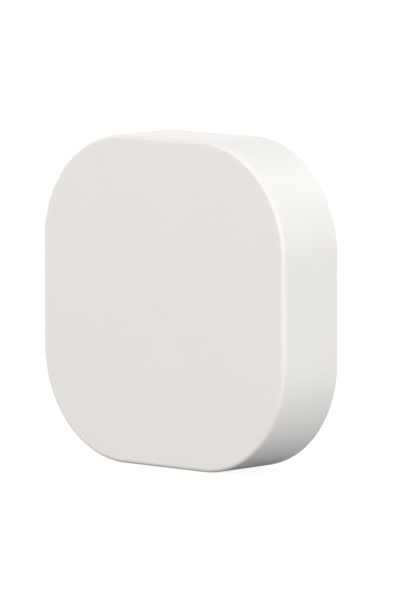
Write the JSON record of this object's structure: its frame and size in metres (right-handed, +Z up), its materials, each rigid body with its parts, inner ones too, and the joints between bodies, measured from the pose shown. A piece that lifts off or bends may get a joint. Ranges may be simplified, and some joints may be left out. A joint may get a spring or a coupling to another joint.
{
  "type": "smart button",
  "caption": "Square wireless push button with rounded corners: the whole white cap is pressed, and a back cover with a foam adhesive pad holds it on a wall.",
  "frame": {"origin": "middle of the adhesive pad's wall face", "axes": "+Z up, +X to the right seen from the front, +Y into the wall, so the front faces -Y"},
  "size_m": [0.045, 0.012, 0.045],
  "materials": {
    "cap_plastic": "fine satin white moulding",
    "silicone": "soft grey silicone",
    "frame_plastic": "plain white moulding",
    "clear_plastic": "clear, polished",
    "screw_steel": "nickel plated",
    "chassis_plastic": "plain white moulding",
    "cover_plastic": "fine grained white moulding",
    "adhesive_foam": "closed-cell acrylic foam tape",
    "board_laminate": "green solder mask on glass laminate",
    "chip_resin": "black moulding resin",
    "crystal_can": "bright metal lid",
    "led_resin": "pale clear resin",
    "capacitor_ceramic": "tan ceramic with tinned ends",
    "resistor_ceramic": "black film with tinned ends",
    "copper": "gold-flashed copper",
    "spring_steel": "nickel-plated spring sheet",
    "cell_steel": "satin stainless steel",
    "cell_gasket": "plain nylon",
    "cell_core": "sealed, not seen",
    "switch_plastic": "black moulding",
    "switch_steel": "bright stamped sheet",
    "stem_plastic": "dark moulding"
  },
  "bodies": {
    "back_plate": {"back_cover": "cover_plastic", "adhesive_pad": "adhesive_foam"},
    "chassis": {"chassis_tub": "chassis_plastic", "mid_frame": "frame_plastic", "light_guide": "clear_plastic", "frame_screws": "screw_steel", "circuit_board": "board_laminate", "radio_chip": "chip_resin", "crystal_oscillator": "crystal_can", "flash_memory": "chip_resin", "status_led": "led_resin", "ceramic_capacitors": "capacitor_ceramic", "chip_resistors": "resistor_ceramic", "antenna_trace": "copper", "battery_contact_negative": "spring_steel", "battery_contact_positive": "spring_steel", "coin_cell_can": "cell_steel", "coin_cell_gasket": "cell_gasket", "coin_cell_cap": "cell_steel", "coin_cell_core": "cell_core", "main_switch_housing": "switch_plastic", "main_switch_cover": "switch_steel", "main_switch_dome": "spring_steel", "main_switch_terminals": "spring_steel", "reset_switch_housing": "switch_plastic", "reset_switch_cover": "switch_steel", "reset_switch_dome": "spring_steel", "reset_switch_terminals": "spring_steel"},
    "cap": {"cap_shell": "cap_plastic", "press_pad": "silicone"},
    "main_stem": {"main_switch_stem": "stem_plastic"},
    "reset_stem": {"reset_switch_stem": "stem_plastic"}
  },
  "joints": [
    {"name": "plate_release", "type": "slide", "parent": "back_plate", "child": "chassis", "axis": [0, -1, 0], "range_m": [0, 0.03]},
    {"name": "cap_press", "type": "slide", "parent": "chassis", "child": "cap", "axis": [0, 1, 0], "range_m": [0, 0.0004], "stiffness_N_per_m": 4000},
    {"name": "main_stem_press", "type": "slide", "parent": "chassis", "child": "main_stem", "axis": [0, 1, 0], "range_m": [0, 0.0004], "deforming": ["main_switch_dome"]},
    {"name": "reset_stem_press", "type": "slide", "parent": "chassis", "child": "reset_stem", "axis": [0, -1, 0], "range_m": [0, 0.00025], "stiffness_N_per_m": 6000, "deforming": ["reset_switch_dome"]}
  ],
  "couplings": [
    {"joint": "main_stem_press", "follows": "cap_press", "ratio": 1}
  ]
}
